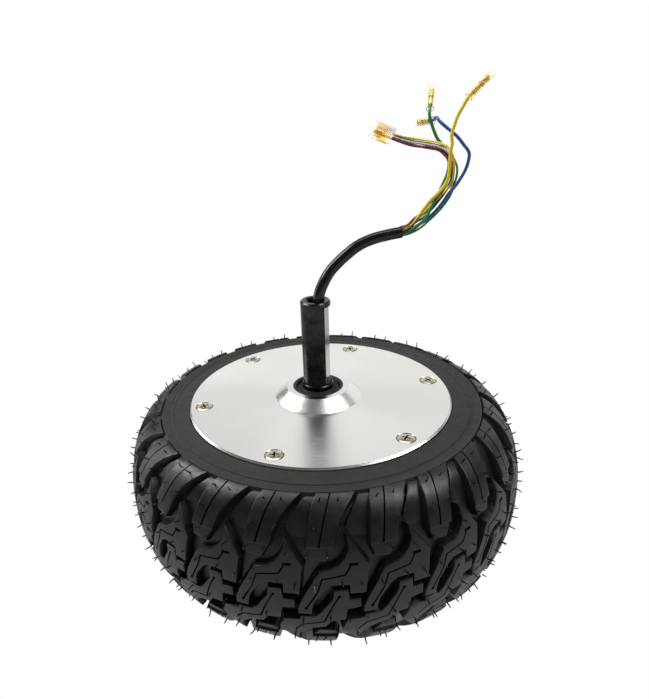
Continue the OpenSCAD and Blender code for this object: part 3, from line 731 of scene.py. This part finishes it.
def pitch_blocks():
    """Vertices (flat u, v, h) and faces of one pitch's blocks."""
    blocks = []
    for turn in (list, turned):
        lug = drafted_block(turn(LUG))
        sipe = [prism(ribbon(turn(LUG_SIPE), SIPE_W), SIPE_LOW, 2),
                prism(disc(turn(LUG_SIPE[-1:])[0], 0.65), SIPE_LOW, 2)]
        blocks.append(cut(lug, sipe))
        blocks.append(drafted_block(turn(LUG_FOOT), height=-0.9))
        ramp = sliced(drafted_block(turn(RAMP), draft=0.8), *GRID)
        for vertex in ramp.verts:
            if vertex.co.z > -0.6:
                vertex.co.z -= ramp_drop(vertex.co.y)
        blocks.append(ramp)
    fin = drafted_block(FIN, draft=1.3)
    tools = [prism(ribbon(FIN_SIPE, FIN_SIPE_W), SIPE_LOW, 2), prism(flat(FIN_NOTCH), -2, 2),
             prism(disc((-3.9, -3.3), 0.8), SIPE_LOW, 2)]
    blocks.append(cut(fin, tools))
    lower = drafted_block(LOWER, draft=1.1)
    tools = [prism(ribbon(LOWER_SIPE, FIN_SIPE_W), SIPE_LOW, 2),
             prism(disc((3.9, 3.3), 0.8), SIPE_LOW, 2)]
    blocks.append(cut(lower, tools))
    points, faces = [], []
    for block in blocks:
        sliced(block, *GRID)
        block.verts.index_update()
        base = len(points)
        points += [tuple(v.co) for v in block.verts]
        faces += [[base + v.index for v in face.verts] for face in block.faces]
        block.free()
    return np.array(points), faces


def lathe(profile, steps):
    """Vertices and faces of a closed outline of (r, z) points turned about the axle."""
    count = len(profile)
    angles = np.arange(steps) * 2 * math.pi / steps
    r, z = np.array(profile).T
    x = np.cos(angles)[:, None] * r
    y = np.sin(angles)[:, None] * r
    points = np.stack([x, y, np.broadcast_to(z, x.shape)], axis=2).reshape(-1, 3)
    faces = []
    for i in range(steps):
        a, b = i * count, ((i + 1) % steps) * count
        faces += [(a + j, b + j, b + (j + 1) % count, a + (j + 1) % count) for j in range(count)]
    return points, faces


def carcass_profile():
    """Closed section of the tyre at the bottom of its grooves, with its beads and air space."""
    rim = PLATE_R + 0.2
    side_z = HALF_W - 0.7
    bead = PLATE_R - 5.5
    ridges = [(rim, -0.3), (rim + 0.3, 0), (80.6, -0.3), (81.2, -0.3), (81.5, 0), (82.3, -0.1),
              (82.6, -0.45), (83.7, -0.6), (84.0, -0.35), (84.5, -0.45)]
    half = [(bead, HALF_W - 22), (bead, HALF_W - 11.4), (bead + 0.4, HALF_W - 11),
            (rim, HALF_W - 11)] + [(r, side_z + rise) for r, rise in ridges]
    mould_v = 46.0
    extra = {mould_v - 0.2, mould_v, mould_v + 0.2, 49.0, 50.0, 51.0}
    stops = sorted(set(np.arange(0, SURFACE.edge_v - 0.4, 2.0)) | extra, reverse=True)
    lip = {mould_v: 0.3}
    for v in stops:
        if v > SURFACE.edge_v - 1.2:
            continue
        r, z = SURFACE.at(v, -float(groove_depth(v)) + lip.get(v, 0.0))
        half.append((float(r), float(z) - MID_Z))
    inner = arc_chain((SIDE_R - 5.5, HALF_W - 7.4), 0, [(10, 30), (18, 30), (42, 30)], 6)
    outer = half + [(r, -z) for r, z in half[::-1] if z > 0.01]
    hollow = [(bead + 6, HALF_W - 18)] + inner
    hollow = hollow + [(r, -z) for r, z in hollow[::-1]]
    return [(r, z + MID_Z) for r, z in outer + hollow[::-1]]


def make_tyre():
    points, faces = pitch_blocks()
    u, v, h = points.T
    r, z = SURFACE.at(v, h)
    all_points, all_faces = [], []
    base = 0
    for i in range(PITCHES):
        angle = u / CROWN_R + math.radians(FIRST_PITCH + i * PITCH)
        all_points.append(np.stack([r * np.cos(angle), r * np.sin(angle), z], axis=1))
        all_faces += [[base + k for k in face] for face in faces]
        base += len(points)
    ring, ring_faces = lathe(carcass_profile(), RING_STEPS)
    all_points.append(ring)
    all_faces += [[base + k for k in face] for face in ring_faces]
    mesh = bpy.data.meshes.new("tyre_look")
    mesh.from_pydata((np.concatenate(all_points) * MM).tolist(), [], all_faces)
    mesh.validate()
    finish_normals(mesh)
    tyre = add_object("tyre_look", mesh)
    mesh.materials.append(rubber())
    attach(tyre, "wheel")
    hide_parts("tyre")
    weigh(tyre)


def finish_normals(mesh, sharp=35):
    """Smooth shading that breaks at edges sharper than the given angle."""
    shell = bmesh.new()
    shell.from_mesh(mesh)
    bmesh.ops.recalc_face_normals(shell, faces=shell.faces)
    limit = math.radians(sharp)
    for face in shell.faces:
        face.smooth = True
    for edge in shell.edges:
        edge.smooth = len(edge.link_faces) == 2 and edge.calc_face_angle(0) < limit
    shell.to_mesh(mesh)
    shell.free()


def weigh(piece):
    """Lets the large faces set the normals, so that a rounded edge stays narrow."""
    step = piece.modifiers.new("weighted", "WEIGHTED_NORMAL")
    step.mode = "FACE_AREA"
    step.keep_sharp = True


def make_hairs():
    """Moulding hairs left by the vents, standing on the blocks."""
    draw = random.Random(23)
    sides, parts = 5, 3
    points, faces = [], []
    for i in range(PITCHES):
        for place in VENTS + turned(VENTS):
            length = draw.uniform(1.9, 3.6)
            lean = Vector([draw.gauss(0, 0.16) for _ in range(3)])
            curl = Vector([draw.gauss(0, 0.45) for _ in range(3)])
            turn = place[0] * DEGREES_PER_STEP + draw.gauss(0, 0.1)
            angle = math.radians(turn + FIRST_PITCH + i * PITCH)
            r0, z0 = (float(c) for c in SURFACE.at(place[1], -0.3))
            r1, z1 = (float(c) for c in SURFACE.at(place[1], 0.7))
            out = Vector(((r1 - r0) * math.cos(angle), (r1 - r0) * math.sin(angle), z1 - z0))
            foot = Vector((r0 * math.cos(angle), r0 * math.sin(angle), z0))
            aim = (out + lean).normalized()
            tip_z = foot.z + aim.z * length
            if tip_z < 1.0:
                continue
            spine = [foot + aim * length * t + curl * t * t for t in (0, 0.35, 0.7, 1.0)]
            side = aim.orthogonal().normalized()
            other = aim.cross(side)
            base = len(points)
            for k, at in enumerate(spine):
                thick = 0.42 - 0.06 * k
                for j in range(sides):
                    a = 2 * math.pi * j / sides
                    points.append(at + side * thick * math.cos(a) + other * thick * math.sin(a))
            for k in range(parts):
                for j in range(sides):
                    n = (j + 1) % sides
                    low, high = base + k * sides, base + (k + 1) * sides
                    faces.append((low + j, low + n, high + n, high + j))
            faces.append([base + parts * sides + j for j in range(sides)])
            faces.append([base + j for j in reversed(range(sides))])
    mesh = bpy.data.meshes.new("tyre_hairs")
    mesh.from_pydata([p * MM for p in points], [], faces)
    finish_normals(mesh, 60)
    hairs = add_object("tyre_hairs", mesh)
    mesh.materials.append(rubber("hair_rubber_look", 0.006, 0.3))
    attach(hairs, "wheel")


# ---- CAD nodes that stay ----


def paint_frame():
    steel = simple_metal("plain_steel_look", (0.56, 0.57, 0.58), 0.3)
    paint("axle", blackened_steel())
    for node in ("axle_circlip", "axle_key"):
        paint(node, steel)
    cast = simple_metal("cast_aluminium_look", (0.66, 0.67, 0.68), 0.42, 4)
    for node in ("stator_hub", "rim_drum"):
        paint(node, cast)
    paint("stator_core", simple_metal("laminated_steel_look", (0.36, 0.37, 0.39), 0.45, 1))
    nylon = simple_plastic("insulator_look", (0.80, 0.76, 0.62), 0.45)
    for node in ("near_insulator", "far_insulator"):
        paint(node, nylon)
    copper = simple_metal("copper_enamel_look", (0.58, 0.22, 0.09), 0.3, 1)
    for node in ("winding_yellow", "winding_green", "winding_blue"):
        paint(node, copper)
    paint("hall_board", simple_plastic("circuit_board_look", (0.02, 0.17, 0.06), 0.35))
    paint("hall_sensors", simple_plastic("sensor_black_look", (0.02, 0.02, 0.022), 0.4))
    paint("inner_cable", simple_plastic("inner_jacket_look", (0.02, 0.02, 0.022), 0.35))
    paint("phase_leads", wire_coat("inner_lead_look", WIRE_COLOURS["yellow"]))
    ground = simple_metal("bearing_steel_look", (0.66, 0.67, 0.69), 0.2)
    for end in ("near", "far"):
        for part in ("inner_race", "outer_race", "balls"):
            paint("%s_bearing_%s" % (end, part), ground)
        paint(end + "_bearing_cage", simple_metal(end + "_cage_look", (0.66, 0.46, 0.18), 0.3))
        shield = simple_plastic(end + "_shield_look", (0.02, 0.02, 0.02), 0.5)
        paint(end + "_bearing_shields", shield)
    paint("flux_ring", simple_metal("flux_ring_look", (0.40, 0.41, 0.43), 0.4))
    paint("magnets", simple_metal("magnet_look", (0.62, 0.63, 0.66), 0.22))
    paint("cover_plate", turned_aluminium())
    paint("cover_seal", rubber("cover_seal_look", 0.015, 0.4))
    paint("cover_screws", screw_nickel())
    paint("dust_seal", rubber("dust_seal_look", 0.010, 0.3))
    paint("valve_stem", simple_metal("valve_brass_look", (0.66, 0.46, 0.18), 0.28))
    paint("valve_cap", simple_plastic("valve_cap_look", (0.015, 0.015, 0.015), 0.4))
    paint("hub_cap", simple_plastic("hub_cap_look", (0.02, 0.02, 0.02), 0.35))
    brass = simple_metal("terminal_brass_look", (0.80, 0.60, 0.22), 0.34, 1)
    for colour in PHASE_ROUTES:
        paint("terminal_" + colour, brass)
        sleeve = clear_plastic("sleeve_%s_look" % colour, (0.93, 0.88, 0.72), 1.0)
        paint("sleeve_" + colour, sleeve)
    paint("sensor_contacts", brass)
    corners = [NODES["sensor_connector"].matrix_world @ Vector(c)
               for c in NODES["sensor_connector"].bound_box]
    left, right = min(c.x for c in corners), max(c.x for c in corners)
    barrels = (left + 0.32 * (right - left), left + 0.66 * (right - left))
    paint("sensor_connector",
          clear_plastic("connector_nylon_look", (0.96, 0.94, 0.88), 0.95, barrels))


def clear_plastic(name, colour, clarity, barrels=None):
    """Clear plastic, amber between two places along X if brass barrels crowd there."""
    made = Shade(name, colour, 0.12, 0.0, transmission_weight=clarity, ior=1.3)
    cloud = made.noise(3, 3, 0.5)
    plain = made.blend(made.ramp(cloud, 0, 1, 0.3, 0.7), tuple(c * 0.93 for c in colour), colour)
    if barrels:
        side = made.axis("X")
        amber = made.math("MULTIPLY", made.math("GREATER_THAN", side, barrels[0]),
                          made.math("LESS_THAN", side, barrels[1]))
        plain = made.blend(amber, plain, (0.90, 0.66, 0.20))
    made.link(plain, made.shader.inputs["Base Color"])
    made.rough(cloud, 0.05, 0.14)
    made.bump(made.noise(1.2, 2), 0.02, 0.3)
    return made.finish()


make_camera()
make_cords()
make_floor()
make_light()
make_tyre()
make_hairs()
paint_frame()
